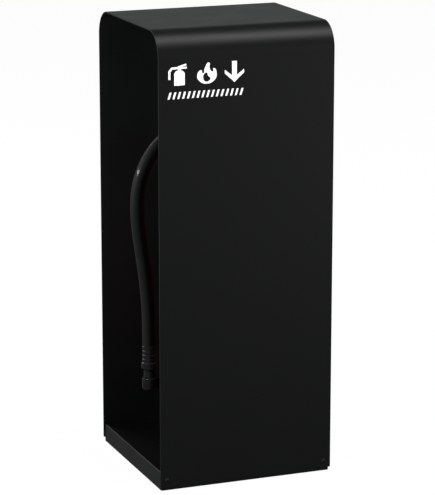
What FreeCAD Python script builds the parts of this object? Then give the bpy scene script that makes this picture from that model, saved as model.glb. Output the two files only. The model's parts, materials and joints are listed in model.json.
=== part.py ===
import FreeCAD, Part
import math
import os

# Fire extinguisher floor box: one folded steel sheet over a raised base tray, with the
# extinguisher that it holds standing on the tray. Millimetres, +Z up, origin on the floor
# under the middle of the box. The closed front faces -Y and both sides are open.

V = FreeCAD.Vector
X_AXIS = V(1, 0, 0)
Y_AXIS = V(0, 1, 0)
Z_AXIS = V(0, 0, 1)

# Length that a cutting shape runs past what it cuts, and the tolerance for finding an edge
OVERRUN = 1.0
TOUCH = 0.01

# Folded sheet
BOX_WIDTH = 260.0
BOX_DEPTH = 250.0
BOX_HEIGHT = 650.0
SHEET = 1.6
BEND_RADIUS = 36.0
PANEL_LIFT = 5.0
PANEL_CORNER = 1.2

# Base tray
TRAY_HEIGHT = 26.0
TRAY_SHEET = 1.6
TRAY_SET_IN = 1.5
TRAY_BEND = 2.4
TRAY_CORNER = 3.0

# Screws and weld nuts that hold the sheet to the tray
SCREW_RADIUS = 2.0
SCREW_LENGTH = 8.0
SCREW_HEAD_RADIUS = 3.9
SCREW_HEAD_HEIGHT = 2.4
SCREW_DOME_RADIUS = 2.925
SCREW_DOME_HEIGHT = 1.68
SCREW_FROM_SIDE = 8.5
SCREW_HEIGHT = 14.5
SCREW_HOLE_CLEARANCE = 0.25
RECESS_WIDTH = 0.9
RECESS_SPAN = 4.0
RECESS_DEPTH = 1.4
NUT_ACROSS_FLATS = 7.0
NUT_THICKNESS = 3.2
THREAD_CLEARANCE = 0.05

# Room between the handle's ears and the underside of the box's top, for the open lever
LEVER_ROOM = 110.9

# Bottle, a sealed pressure vessel, as tall as the box leaves room for
BOTTLE_RADIUS = 67.0
BOTTLE_LIFT = 3.0
SHOULDER_KNUCKLE = 22.0
SHOULDER_SWEEP = 55.0
BOTTOM_KNUCKLE = 14.0
BOTTOM_SWEEP = 70.0
NECK_RADIUS = 21.0
NECK_HEIGHT = 20.0
WELD_ABOVE_WALL_FOOT = 168.0
WELD_HALF_WIDTH = 4.0
WELD_RISE = 0.7

# Foot ring that the bottle stands in
FOOT_WALL = 2.2
FOOT_RISE = 12.0
FOOT_CHAMFER = 2.5
FOOT_SEAT_SWEEP = 50.0
FOOT_CLEARANCE = 0.1

# Cap nut that clamps the valve on the neck
CAP_RADIUS = 27.0
CAP_LIP = 4.0
CAP_SKIRT = 17.0
CAP_BEVEL = 1.5
CAP_GRIPS = 8
CAP_GRIP_RADIUS = 3.0

# Valve body
FLANGE_THICKNESS = 5.0
FLANGE_GAP = 0.5
STEM_TUBE_RADIUS = 13.5
STEM_TUBE_HEIGHT = 28.0
BLOCK_HALF_LENGTH = 15.0
BLOCK_HALF_WIDTH = 8.4
BLOCK_HEIGHT = 33.0
BLOCK_ROUND = 2.0
BLOCK_FOOT_ROUND = 6.0
OUTLET_RADIUS = 7.6
OUTLET_LENGTH = 33.0
GAUGE_BOSS_RADIUS = 5.5
GAUGE_REACH = 22.0
GAUGE_DROP = 0.5

# Valve stem, pressed by the lever
STEM_RADIUS = 3.0
STEM_CLEARANCE = 0.05
STEM_BORE_DEPTH = 12.0
STEM_TRAVEL_ROOM = 6.0

# Carrying handle and squeeze lever, two pressed channels
HANDLE_SHEET = 1.6
HANDLE_DEPTH = 20.0
HANDLE_BEND = 3.0
HANDLE_REAR = 24.0
HANDLE_REACH = 105.0
HANDLE_FOOT_ABOVE_BLOCK_FOOT = 12.0
EAR_RISE = 8.5
EAR_FRONT = 24.0
HANDLE_REAR_ROUND = 6.0
HANDLE_TIP_ROUND = 9.0
EAR_REAR_ROUND = 5.0
EAR_FRONT_ROUND = 4.0
EAR_FOOT_ROUND = 6.0
LEVER_SHEET = 1.8
LEVER_SIDE_GAP = 1.2
LEVER_OPEN = 14.0
LEVER_LENGTH = 120.0
LEVER_NOSE = 8.0
LEVER_WEB_ABOVE_PIVOT = 5.0
LEVER_SKIRT = 6.0
LEVER_DEEP_SKIRT = 15.8
LEVER_DEEP_FROM = 22.0
LEVER_DEEP_TO = 42.0
LEVER_TAPER_TO = 60.0
LEVER_CROWN_ROUND = 4.0
LEVER_HEEL_ROUND = 7.0
LEVER_STEP_ROUND = 8.0
LEVER_DEEP_ROUND = 4.0
LEVER_TAPER_ROUND = 12.0
LEVER_TIP_ROUND = 5.0
PIVOT_X = -18.0
PIVOT_BELOW_EAR = 3.5
PIVOT_RADIUS = 2.5
PIVOT_CLEARANCE = 0.05
PIVOT_HEAD_RADIUS = 4.2
PIVOT_HEAD_HEIGHT = 1.4
SIDE_PLAY = 0.3
RIVET_RADIUS = 2.5
RIVET_HEAD_RADIUS = 3.6
RIVET_HEAD_HEIGHT = 0.9
RIVET_ABOVE_HANDLE_FOOT = 4.5

# Safety pin with its pull ring
PIN_RADIUS = 2.0
PIN_CLEARANCE = 0.1
PIN_SLOT_PLAY = 0.3
PIN_X = 16.0
PIN_BELOW_EAR = 5.5
PIN_END_BEYOND_LEVER = 5.0
PIN_STOP_RADIUS = 4.5
PIN_STOP_THICKNESS = 2.0
RING_RADIUS = 12.0
RING_WIRE = 2.2
RING_ROOT = 4.4

# Pressure gauge
GAUGE_RADIUS = 15.0
GAUGE_THICKNESS = 9.0
GAUGE_WALL = 1.4
GAUGE_FLOOR = 4.5
GAUGE_ROUND = 0.8
DIAL_THICKNESS = 0.6
SPINDLE_RADIUS = 0.8
SPINDLE_HEIGHT = 1.8
NEEDLE_THICKNESS = 0.5
NEEDLE_HUB_RADIUS = 2.0
NEEDLE_LIFT = 0.4
NEEDLE_REACH = 10.0
NEEDLE_TAIL = 4.5
NEEDLE_TIP_HALF_WIDTH = 0.2
NEEDLE_TAIL_HALF_WIDTH = 1.1
NEEDLE_CLEARANCE = 0.06
LENS_THICKNESS = 1.0
LENS_SET_BACK = 0.6

# Hose with its fittings
HOSE_RADIUS = 10.0
HOSE_NUT_ACROSS_FLATS = 21.0
HOSE_NUT_LENGTH = 9.0
HOSE_SLEEVE_RADIUS = 12.0
HOSE_SLEEVE_LENGTH = 10.6
SLEEVE_ROUND = 0.8
HOSE_ARC_SHARE = 0.45
HOSE_FOOT_RISE = 152.0
# Corners of the hose's line: X, and the height above its lower end, before it is stretched
HOSE_ROUTE = [
    (-44.6, 319.0),
    (-63.5, 309.0),
    (-82.0, 294.5),
    (-97.5, 276.0),
    (-109.0, 254.5),
    (-117.0, 227.0),
    (-118.0, 197.0),
    (-115.0, 162.0),
    (-109.0, 125.0),
    (-104.0, 84.0),
    (-101.0, 42.0),
    (-101.0, 0.0),
]

# Nozzle at the free end of the hose
CRIMP_RADIUS = 10.4
CRIMP_LENGTH = 24.5
CRIMP_GROOVES = 3
CRIMP_GROOVE_DEPTH = 0.7
CRIMP_GROOVE_WIDTH = 2.2
UNION_RADIUS = 11.8
UNION_LENGTH = 10.5
UNION_BEVEL = 1.4
NOZZLE_RADIUS = 8.3
NOZZLE_TIP_RADIUS = 6.8
NOZZLE_LENGTH = 26.0
NOZZLE_BORE_RADIUS = 4.0
NOZZLE_THROAT_RADIUS = 2.0
NOZZLE_BORE_DEPTH = 18.0

# Holder for the nozzle, on a strap round the bottle
CUP_OUTER_RADIUS = 10.6
CUP_HEIGHT = 17.5
CUP_DEPTH = 14.0
CUP_GRIP = 12.5
CUP_CLEARANCE = 0.2
CUP_ROUND = 3.0
CUP_LIP_ROUND = 0.9
ARM_THICKNESS = 8.0
ARM_MARGIN = 1.2
PAD_HALF_WIDTH = 13.0
PAD_THICKNESS = 4.0
STRAP_THICKNESS = 0.8
STRAP_CLEARANCE = 0.1
STRAP_WIDTH = 15.0
STRAP_GAP = 8.0
STRAP_EAR = 11.0
STRAP_SCREW_RADIUS = 2.0
STRAP_SCREW_HEAD = 3.8
STRAP_SCREW_HEAD_HEIGHT = 2.6
STRAP_SCREW_OVERHANG = 5.0

# Heights and places that follow from the sizes above
TRAY_HALF_WIDTH = BOX_WIDTH / 2 - TRAY_SET_IN
TRAY_HALF_DEPTH = BOX_DEPTH / 2 - SHEET
SCREW_X = TRAY_HALF_WIDTH - SCREW_FROM_SIDE
PLATFORM = TRAY_HEIGHT
BOTTLE_INSET = BOTTLE_RADIUS - BOTTOM_KNUCKLE
BOTTOM_CROWN_OFFSET = BOTTLE_INSET * math.tan(math.radians(BOTTOM_SWEEP))
BOTTOM_CROWN_RADIUS = BOTTLE_INSET / math.cos(math.radians(BOTTOM_SWEEP)) + BOTTOM_KNUCKLE
WALL_FOOT = PLATFORM + BOTTLE_LIFT + BOTTOM_CROWN_RADIUS - BOTTOM_CROWN_OFFSET
SHOULDER_INSET = BOTTLE_RADIUS - SHOULDER_KNUCKLE
SHOULDER_CROWN_OFFSET = SHOULDER_INSET * math.tan(math.radians(SHOULDER_SWEEP))
SHOULDER_CROWN_RADIUS = SHOULDER_INSET / math.cos(math.radians(SHOULDER_SWEEP)) + SHOULDER_KNUCKLE
EAR_TOP = BOX_HEIGHT - SHEET - LEVER_ROOM
HANDLE_TOP = EAR_TOP - EAR_RISE
HANDLE_FOOT = HANDLE_TOP - HANDLE_DEPTH
BLOCK_FOOT = HANDLE_FOOT - HANDLE_FOOT_ABOVE_BLOCK_FOOT
BLOCK_TOP = BLOCK_FOOT + BLOCK_HEIGHT
CAP_LIP_FOOT = BLOCK_FOOT + BLOCK_ROUND - STEM_TUBE_HEIGHT
CAP_TOP = CAP_LIP_FOOT + CAP_LIP
NECK_TOP = CAP_LIP_FOOT - FLANGE_THICKNESS
NECK_FOOT = NECK_TOP - NECK_HEIGHT
SHOULDER_CROWN_Z = NECK_FOOT - math.sqrt(SHOULDER_CROWN_RADIUS ** 2 - NECK_RADIUS ** 2)
WALL_TOP = SHOULDER_CROWN_Z + SHOULDER_CROWN_OFFSET
GAUGE_Z = BLOCK_FOOT - GAUGE_DROP
HANDLE_HALF_WIDTH = BLOCK_HALF_WIDTH + HANDLE_SHEET
PIVOT_Z = EAR_TOP - PIVOT_BELOW_EAR
LEVER_INNER = HANDLE_HALF_WIDTH + LEVER_SIDE_GAP
LEVER_OUTER = LEVER_INNER + LEVER_SHEET
PIN_Z = EAR_TOP - PIN_BELOW_EAR
RIVET_Z = HANDLE_FOOT + RIVET_ABOVE_HANDLE_FOOT
HOSE_FOOT = PLATFORM + HOSE_FOOT_RISE
HOSE_STRETCH = (BLOCK_FOOT - HOSE_FOOT) / HOSE_ROUTE[0][1]
HOSE_POINTS = [V(x, 0, HOSE_FOOT + rise * HOSE_STRETCH) for x, rise in HOSE_ROUTE]
HOSE_START = HOSE_POINTS[0]
HOSE_END = HOSE_POINTS[-1]
FIRST_RUN = HOSE_POINTS[1] - HOSE_START
OUTLET_DIRECTION = V(FIRST_RUN).normalize()
UNION_TOP = HOSE_END.z - CRIMP_LENGTH
UNION_FOOT = UNION_TOP - UNION_LENGTH
CUP_TOP = UNION_FOOT - (NOZZLE_LENGTH - CUP_GRIP)
CUP_FOOT = CUP_TOP - CUP_HEIGHT
STRAP_MIDDLE = CUP_FOOT + CUP_HEIGHT / 2
STRAP_INNER = BOTTLE_RADIUS + STRAP_CLEARANCE
STRAP_OUTER = STRAP_INNER + STRAP_THICKNESS


def outline(corners, place):
    """Closed wire through corners (u, v, radius), rounded at each corner; place maps u, v."""
    count = len(corners)
    points = [V(corner[0], corner[1], 0) for corner in corners]
    edges = []
    previous_end = None
    first_start = None
    for index in range(count):
        here = points[index]
        back = points[index - 1] - here
        ahead = points[(index + 1) % count] - here
        radius = corners[index][2]
        if radius > 0:
            half = back.getAngle(ahead) / 2
            reach = radius / math.tan(half)
            start = here + V(back).normalize() * reach
            end = here + V(ahead).normalize() * reach
            toward = (V(back).normalize() + V(ahead).normalize()).normalize()
            middle = here + toward * (radius / math.sin(half) - radius)
            arc = Part.Arc(place(start), place(middle), place(end)).toShape()
        else:
            start = here
            end = here
            arc = None
        if previous_end is None:
            first_start = start
        else:
            edges.append(Part.makeLine(place(previous_end), place(start)))
        if arc is not None:
            edges.append(arc)
        previous_end = end
    edges.append(Part.makeLine(place(previous_end), place(first_start)))
    return Part.Wire(edges)


def side_plane(point):
    """Outline plane seen from the front: u along X, v along Z."""
    return V(point.x, 0, point.y)


def end_plane(point):
    """Outline plane seen from the side: u along Y, v along Z."""
    return V(0, point.x, point.y)


def extrude_y(corners, half_width):
    """Solid of a front outline, as wide as half_width on each side of the middle."""
    face = Part.Face(outline(corners, side_plane))
    face.translate(V(0, -half_width, 0))
    return face.extrude(V(0, 2 * half_width, 0))


def rod(start, direction, length, radius):
    """Solid round bar from start along direction."""
    return Part.makeCylinder(radius, length, start, direction)


def turned(points):
    """Solid of revolution about Z through corners (radius, z) and arcs (middle, end)."""
    edges = []
    here = points[0]
    for step in points[1:] + [points[0]]:
        start = V(here[0], 0, here[1])
        end = V(step[0], 0, step[1])
        if len(step) == 4:
            middle = V(step[2], 0, step[3])
            edges.append(Part.Arc(start, middle, end).toShape())
        elif start.distanceToPoint(end) > 0:
            edges.append(Part.makeLine(start, end))
        here = step
    return Part.Face(Part.Wire(edges)).revolve(V(0, 0, 0), Z_AXIS, 360)


def on_circle(centre_r, centre_z, radius, degrees):
    """Point of a turned profile's arc, its angle counted up from straight out."""
    angle = math.radians(degrees)
    return centre_r + radius * math.cos(angle), centre_z + radius * math.sin(angle)


def hexagon(across_flats, length, start, direction):
    """Six-sided bar from start along direction, its corners knocked off by a cone."""
    corner_radius = across_flats / math.sqrt(3)
    corners = [V(*on_circle(0, 0, corner_radius, 60 * turn), 0) for turn in range(6)]
    bar = Part.Face(Part.makePolygon(corners + corners[:1])).extrude(V(0, 0, length))
    bevel = corner_radius - across_flats / 2
    limit = turned([
        (0, 0), (corner_radius - bevel, 0), (corner_radius, bevel),
        (corner_radius, length - bevel), (corner_radius - bevel, length), (0, length),
    ])
    bar = bar.common(limit)
    bar.rotate(V(0, 0, 0), Z_AXIS.cross(direction), math.degrees(Z_AXIS.getAngle(direction)))
    bar.translate(start)
    return bar


def edges_where(shape, test):
    """Edges of a shape whose middle point passes a test."""
    chosen = []
    for edge in shape.Edges:
        first, last = edge.ParameterRange
        if test(edge.valueAt((first + last) / 2), edge):
            chosen.append(edge)
    return chosen


def screw_places():
    """Screw axes: outward side in Y, and the place in X."""
    return [(side, end * SCREW_X) for side in (-1, 1) for end in (-1, 1)]


def body_panel():
    """Front, top and back folded from one sheet, open at both sides."""
    half = BOX_DEPTH / 2
    inner_bend = BEND_RADIUS - SHEET
    skin = extrude_panel(half, BOX_HEIGHT, BEND_RADIUS, PANEL_LIFT)
    hollow = extrude_panel(half - SHEET, BOX_HEIGHT - SHEET, inner_bend, PANEL_LIFT - SHEET)
    sheet = skin.cut(hollow)
    sheet = sheet.makeFillet(PANEL_CORNER, edges_where(sheet, is_panel_corner))
    return with_screw_holes(sheet, half - SHEET, SHEET)


def with_screw_holes(shape, inner_y, thickness):
    """Cuts the screw holes through a wall that stands thickness deep from inner_y."""
    for side, place in screw_places():
        start = V(place, side * (inner_y - OVERRUN), SCREW_HEIGHT)
        length = thickness + 2 * OVERRUN
        hole = rod(start, V(0, side, 0), length, SCREW_RADIUS + SCREW_HOLE_CLEARANCE)
        shape = shape.cut(hole)
    return shape


def extrude_panel(half, top, bend, foot):
    """Solid under an inverted U, across the box's width."""
    corners = [(-half, foot, 0), (-half, top, bend), (half, top, bend), (half, foot, 0)]
    face = Part.Face(outline(corners, end_plane))
    face.translate(V(-BOX_WIDTH / 2, 0, 0))
    return face.extrude(V(BOX_WIDTH, 0, 0))


def is_panel_corner(point, edge):
    """Short edges through the sheet at its four lower corners."""
    low = abs(point.z - PANEL_LIFT) < SHEET / 2
    outer = abs(abs(point.x) - BOX_WIDTH / 2) < SHEET / 2
    return low and outer and edge.Length < 2 * SHEET


def base_tray():
    """Raised floor with its four flanges folded down to the ground."""
    half_x = TRAY_HALF_WIDTH
    half_y = TRAY_HALF_DEPTH
    corner = V(-half_x, -half_y, 0)
    block = Part.makeBox(2 * half_x, 2 * half_y, TRAY_HEIGHT, corner)
    upright = edges_where(block, lambda point, edge: abs(point.z - TRAY_HEIGHT / 2) < TOUCH)
    block = block.makeFillet(TRAY_CORNER, upright)
    rim = edges_where(block, lambda point, edge: abs(point.z - TRAY_HEIGHT) < TOUCH)
    block = block.makeFillet(TRAY_BEND, rim)
    inner_x = half_x - TRAY_SHEET
    inner_y = half_y - TRAY_SHEET
    corner = V(-inner_x, -inner_y, -TRAY_SHEET)
    hollow = Part.makeBox(2 * inner_x, 2 * inner_y, TRAY_HEIGHT, corner)
    return with_screw_holes(block.cut(hollow), inner_y, TRAY_SHEET)


def base_screw(side, place):
    """Domed screw with a cross recess, its head on the sheet's outer face."""
    head = turned([
        (0, 0), (SCREW_HEAD_RADIUS, 0),
        (0, SCREW_HEAD_HEIGHT, SCREW_DOME_RADIUS, SCREW_DOME_HEIGHT),
    ])
    shank = rod(V(0, 0, -SCREW_LENGTH), Z_AXIS, SCREW_LENGTH, SCREW_RADIUS)
    screw = head.fuse(shank)
    for long_x, long_y in ((RECESS_SPAN, RECESS_WIDTH), (RECESS_WIDTH, RECESS_SPAN)):
        start = V(-long_x / 2, -long_y / 2, SCREW_HEAD_HEIGHT - RECESS_DEPTH)
        screw = screw.cut(Part.makeBox(long_x, long_y, RECESS_DEPTH + OVERRUN, start))
    screw.rotate(V(0, 0, 0), X_AXIS, -90 * side)
    screw.translate(V(place, side * BOX_DEPTH / 2, SCREW_HEIGHT))
    return screw


def weld_nut(side, place):
    """Hexagon nut welded to the inner face of the tray's flange."""
    seat = side * (TRAY_HALF_DEPTH - TRAY_SHEET)
    direction = V(0, -side, 0)
    start = V(place, seat, SCREW_HEIGHT)
    nut = hexagon(NUT_ACROSS_FLATS, NUT_THICKNESS, start, direction)
    return nut.cut(rod(start, direction, NUT_THICKNESS, SCREW_RADIUS + THREAD_CLEARANCE))


def bottle():
    """Drawn steel bottle: dished bottom, wall with a weld round it, shoulder and neck."""
    weld = WALL_FOOT + WELD_ABOVE_WALL_FOOT
    bottom_crown_z = WALL_FOOT + BOTTOM_CROWN_OFFSET
    bottom_knuckle = (BOTTLE_INSET, WALL_FOOT, BOTTOM_KNUCKLE)
    shoulder_knuckle = (SHOULDER_INSET, WALL_TOP, SHOULDER_KNUCKLE)
    crown_start = on_circle(*bottom_knuckle, -BOTTOM_SWEEP)
    crown_middle = on_circle(0, bottom_crown_z, BOTTOM_CROWN_RADIUS, -(BOTTOM_SWEEP + 90) / 2)
    wall_start = (BOTTLE_RADIUS, WALL_FOOT)
    shoulder_end = on_circle(*shoulder_knuckle, SHOULDER_SWEEP)
    neck_angle = math.degrees(math.acos(NECK_RADIUS / SHOULDER_CROWN_RADIUS))
    shoulder_middle = on_circle(
        0, SHOULDER_CROWN_Z, SHOULDER_CROWN_RADIUS, (SHOULDER_SWEEP + neck_angle) / 2)
    return turned([
        (0, PLATFORM + BOTTLE_LIFT),
        (*crown_start, *crown_middle),
        (*wall_start, *on_circle(*bottom_knuckle, -BOTTOM_SWEEP / 2)),
        (BOTTLE_RADIUS, weld - WELD_HALF_WIDTH),
        (BOTTLE_RADIUS, weld + WELD_HALF_WIDTH, BOTTLE_RADIUS + WELD_RISE, weld),
        (BOTTLE_RADIUS, WALL_TOP),
        (*shoulder_end, *on_circle(*shoulder_knuckle, SHOULDER_SWEEP / 2)),
        (NECK_RADIUS, NECK_FOOT, *shoulder_middle),
        (NECK_RADIUS, NECK_TOP),
        (0, NECK_TOP),
    ])


def foot_ring():
    """Moulded ring that the bottle's bottom edge sits in, down on the platform."""
    knuckle = (BOTTLE_INSET, WALL_FOOT, BOTTOM_KNUCKLE + FOOT_CLEARANCE)
    seat_end = on_circle(*knuckle, -FOOT_SEAT_SWEEP)
    inner = BOTTLE_RADIUS + FOOT_CLEARANCE
    outer = inner + FOOT_WALL
    top = WALL_FOOT + FOOT_RISE
    return turned([
        (seat_end[0], PLATFORM),
        (outer - FOOT_CHAMFER, PLATFORM),
        (outer, PLATFORM + FOOT_CHAMFER),
        (outer, top - FOOT_WALL / 2),
        (outer - FOOT_WALL / 2, top),
        (inner, top),
        (inner, WALL_FOOT),
        (*seat_end, *on_circle(*knuckle, -FOOT_SEAT_SWEEP / 2)),
    ])


def cap_nut():
    """Round nut with finger grooves that holds the valve's flange on the neck."""
    bore = NECK_RADIUS + THREAD_CLEARANCE
    foot = CAP_TOP - CAP_LIP - CAP_SKIRT
    nut = turned([
        (bore, foot),
        (CAP_RADIUS - CAP_BEVEL, foot),
        (CAP_RADIUS, foot + CAP_BEVEL),
        (CAP_RADIUS, CAP_TOP - CAP_BEVEL),
        (CAP_RADIUS - CAP_BEVEL, CAP_TOP),
        (STEM_TUBE_RADIUS + FLANGE_GAP, CAP_TOP),
        (STEM_TUBE_RADIUS + FLANGE_GAP, CAP_LIP_FOOT),
        (bore, CAP_LIP_FOOT),
    ])
    for turn in range(CAP_GRIPS):
        place = on_circle(0, 0, CAP_RADIUS + CAP_GRIP_RADIUS / 2, 360 * turn / CAP_GRIPS)
        start = V(*place, foot)
        nut = nut.cut(rod(start, Z_AXIS, CAP_TOP - foot, CAP_GRIP_RADIUS))
    return nut


def valve_body():
    """Forged body: flange, round tube, block between the cheeks, outlet and gauge boss."""
    flange = rod(V(0, 0, NECK_TOP), Z_AXIS, FLANGE_THICKNESS, NECK_RADIUS - FLANGE_GAP)
    tube = rod(V(0, 0, CAP_LIP_FOOT), Z_AXIS, STEM_TUBE_HEIGHT, STEM_TUBE_RADIUS)
    block = extrude_y([
        (-BLOCK_HALF_LENGTH, BLOCK_FOOT, BLOCK_FOOT_ROUND),
        (-BLOCK_HALF_LENGTH, BLOCK_TOP, BLOCK_ROUND),
        (BLOCK_HALF_LENGTH, BLOCK_TOP, BLOCK_ROUND),
        (BLOCK_HALF_LENGTH, BLOCK_FOOT, BLOCK_FOOT_ROUND),
    ], BLOCK_HALF_WIDTH)
    outlet_root = HOSE_START - OUTLET_DIRECTION * outlet_distance()
    outlet = rod(outlet_root, OUTLET_DIRECTION, OUTLET_LENGTH, OUTLET_RADIUS)
    gauge_boss = rod(V(0, 0, GAUGE_Z), -Y_AXIS, GAUGE_REACH, GAUGE_BOSS_RADIUS)
    body = flange.fuse([tube, block, outlet, gauge_boss])
    bore_foot = V(0, 0, BLOCK_TOP - STEM_BORE_DEPTH)
    bore_length = STEM_BORE_DEPTH + OVERRUN
    body = body.cut(rod(bore_foot, Z_AXIS, bore_length, STEM_RADIUS + STEM_CLEARANCE))
    body = body.cut(cross_hole(V(0, 0, RIVET_Z), BLOCK_HALF_WIDTH, RIVET_RADIUS))
    return body.removeSplitter()


def cross_hole(place, half_width, radius):
    """Round cutter along Y through place, a little longer than what it goes through."""
    half_length = half_width + OVERRUN
    return rod(place - Y_AXIS * half_length, Y_AXIS, 2 * half_length, radius)


def outlet_distance():
    """Length from the valve's middle to the hose's end face, along the outlet."""
    return HOSE_START.x / OUTLET_DIRECTION.x


def lever_underside(local_height):
    """Height above the pivot, at the stem's axis, of a point of the resting lever."""
    angle = math.radians(LEVER_OPEN)
    return (local_height - PIVOT_X * math.sin(angle)) / math.cos(angle)


def stem_ball_height():
    """Centre height of the stem's round top, just clear of the resting lever's web."""
    return PIVOT_Z + lever_underside(LEVER_WEB_ABOVE_PIVOT - STEM_RADIUS - SIDE_PLAY)


def valve_stem():
    """Plain stem with a round top that the lever presses down."""
    foot = BLOCK_TOP - STEM_BORE_DEPTH + STEM_TRAVEL_ROOM
    top = stem_ball_height()
    shank = rod(V(0, 0, foot), Z_AXIS, top - foot, STEM_RADIUS)
    return shank.fuse(Part.makeSphere(STEM_RADIUS, V(0, 0, top))).removeSplitter()


def channel(length, half_width, sheet, bend, depth, web_down):
    """Pressed U channel along X from the origin, its web at z = 0, open away from it."""
    way = 1 if web_down else -1
    outer = [
        (-half_width, 0, bend), (half_width, 0, bend),
        (half_width, way * depth, 0), (-half_width, way * depth, 0),
    ]
    inner_half = half_width - sheet
    inner = [
        (-inner_half, way * sheet, bend - sheet), (inner_half, way * sheet, bend - sheet),
        (inner_half, way * (depth + sheet), 0), (-inner_half, way * (depth + sheet), 0),
    ]
    solid = Part.Face(outline(outer, end_plane)).extrude(V(length, 0, 0))
    return solid.cut(Part.Face(outline(inner, end_plane)).extrude(V(length, 0, 0)))


def carry_handle():
    """Lower channel, riveted to the valve block, with two ears for the lever's pivot."""
    length = HANDLE_REAR + HANDLE_REACH
    handle = channel(
        length, HANDLE_HALF_WIDTH, HANDLE_SHEET, HANDLE_BEND, EAR_TOP - HANDLE_FOOT, True)
    handle.translate(V(-HANDLE_REAR, 0, HANDLE_FOOT))
    side = extrude_y([
        (-HANDLE_REAR, HANDLE_FOOT, HANDLE_REAR_ROUND),
        (-HANDLE_REAR, EAR_TOP, EAR_REAR_ROUND),
        (EAR_FRONT, EAR_TOP, EAR_FRONT_ROUND),
        (EAR_FRONT + EAR_RISE, HANDLE_TOP, EAR_FOOT_ROUND),
        (HANDLE_REACH, HANDLE_TOP, HANDLE_TIP_ROUND),
        (HANDLE_REACH, HANDLE_FOOT, HANDLE_TIP_ROUND),
    ], LEVER_INNER)
    handle = handle.common(side)
    web_cut = Part.makeBox(
        HANDLE_REAR + BLOCK_HALF_LENGTH, 2 * BLOCK_HALF_WIDTH, HANDLE_DEPTH,
        V(-HANDLE_REAR, -BLOCK_HALF_WIDTH, HANDLE_FOOT))
    handle = handle.cut(web_cut)
    holes = [
        (V(PIVOT_X, 0, PIVOT_Z), PIVOT_RADIUS),
        (V(PIN_X, 0, PIN_Z), PIN_RADIUS + PIN_CLEARANCE),
        (V(0, 0, RIVET_Z), RIVET_RADIUS),
    ]
    for place, radius in holes:
        handle = handle.cut(cross_hole(place, HANDLE_HALF_WIDTH, radius))
    return handle


def lever_slot():
    """Slot that the safety pin passes through, curved about the pivot, in lever axes."""
    reach = math.hypot(PIN_X - PIVOT_X, PIN_Z - PIVOT_Z)
    shut = math.degrees(math.atan2(PIN_Z - PIVOT_Z, PIN_X - PIVOT_X))
    half = PIN_RADIUS + PIN_SLOT_PLAY
    outer = [on_circle(0, 0, reach + half, shut - share * LEVER_OPEN) for share in (0, 0.5, 1)]
    inner = [on_circle(0, 0, reach - half, shut - share * LEVER_OPEN) for share in (0, 0.5, 1)]
    outer_points = [side_plane(V(*point, 0)) for point in outer]
    inner_points = [side_plane(V(*point, 0)) for point in inner]
    wire = Part.Wire([
        Part.Arc(*outer_points).toShape(),
        Part.makeLine(outer_points[2], inner_points[2]),
        Part.Arc(*reversed(inner_points)).toShape(),
        Part.makeLine(inner_points[0], outer_points[0]),
    ])
    face = Part.Face(wire)
    half_length = LEVER_OUTER + OVERRUN
    face.translate(V(0, -half_length, 0))
    slot = face.extrude(V(0, 2 * half_length, 0))
    for share in (0, 1):
        end = side_plane(V(*on_circle(0, 0, reach, shut - share * LEVER_OPEN), 0))
        slot = slot.fuse(cross_hole(end, LEVER_OUTER, half))
    return slot


def squeeze_lever():
    """Upper channel, hinged on the ears and pressed down on the valve stem."""
    web_top = LEVER_WEB_ABOVE_PIVOT + LEVER_SHEET
    lever = channel(
        LEVER_NOSE + LEVER_LENGTH, LEVER_OUTER, LEVER_SHEET, HANDLE_BEND,
        web_top + LEVER_DEEP_SKIRT, False)
    lever.translate(V(-LEVER_NOSE, 0, web_top))
    side = extrude_y([
        (-LEVER_NOSE, web_top, LEVER_CROWN_ROUND),
        (-LEVER_NOSE, -LEVER_NOSE, LEVER_HEEL_ROUND),
        (LEVER_DEEP_FROM - LEVER_NOSE, -LEVER_NOSE, LEVER_STEP_ROUND),
        (LEVER_DEEP_FROM, -LEVER_DEEP_SKIRT, LEVER_DEEP_ROUND),
        (LEVER_DEEP_TO, -LEVER_DEEP_SKIRT, LEVER_STEP_ROUND),
        (LEVER_TAPER_TO, -LEVER_SKIRT, LEVER_TAPER_ROUND),
        (LEVER_LENGTH, -LEVER_SKIRT, LEVER_TIP_ROUND),
        (LEVER_LENGTH, web_top, LEVER_TIP_ROUND),
    ], LEVER_OUTER + OVERRUN)
    lever = lever.common(side)
    lever = lever.cut(cross_hole(V(0, 0, 0), LEVER_OUTER, PIVOT_RADIUS + PIVOT_CLEARANCE))
    lever = lever.cut(lever_slot())
    lever.rotate(V(0, 0, 0), Y_AXIS, -LEVER_OPEN)
    lever.translate(V(PIVOT_X, 0, PIVOT_Z))
    return lever


def headed_pin(place, radius, half_length, head_radius, head_height):
    """Pin along Y through place, with a low round head at each end."""
    pin = rod(place - Y_AXIS * half_length, Y_AXIS, 2 * half_length, radius)
    for side in (-1, 1):
        seat = place + Y_AXIS * (side * half_length)
        pin = pin.fuse(rod(seat, V(0, side, 0), head_height, head_radius))
    end = half_length + head_height
    rims = edges_where(pin, lambda point, edge: abs(point.y - place.y) > end - TOUCH)
    return pin.makeChamfer(head_height / 2, rims)


def lever_pivot():
    """Pin that the lever turns on, riveted over outside the lever's sides."""
    place = V(PIVOT_X, 0, PIVOT_Z)
    half_length = LEVER_OUTER + SIDE_PLAY
    return headed_pin(place, PIVOT_RADIUS, half_length, PIVOT_HEAD_RADIUS, PIVOT_HEAD_HEIGHT)


def handle_rivet():
    """Rivet that holds the handle's cheeks on the valve block."""
    place = V(0, 0, RIVET_Z)
    return headed_pin(
        place, RIVET_RADIUS, HANDLE_HALF_WIDTH, RIVET_HEAD_RADIUS, RIVET_HEAD_HEIGHT)


def pin_stop_y():
    """Face of the pin's collar, just outside the lever's near side."""
    return -LEVER_OUTER - SIDE_PLAY


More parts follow.
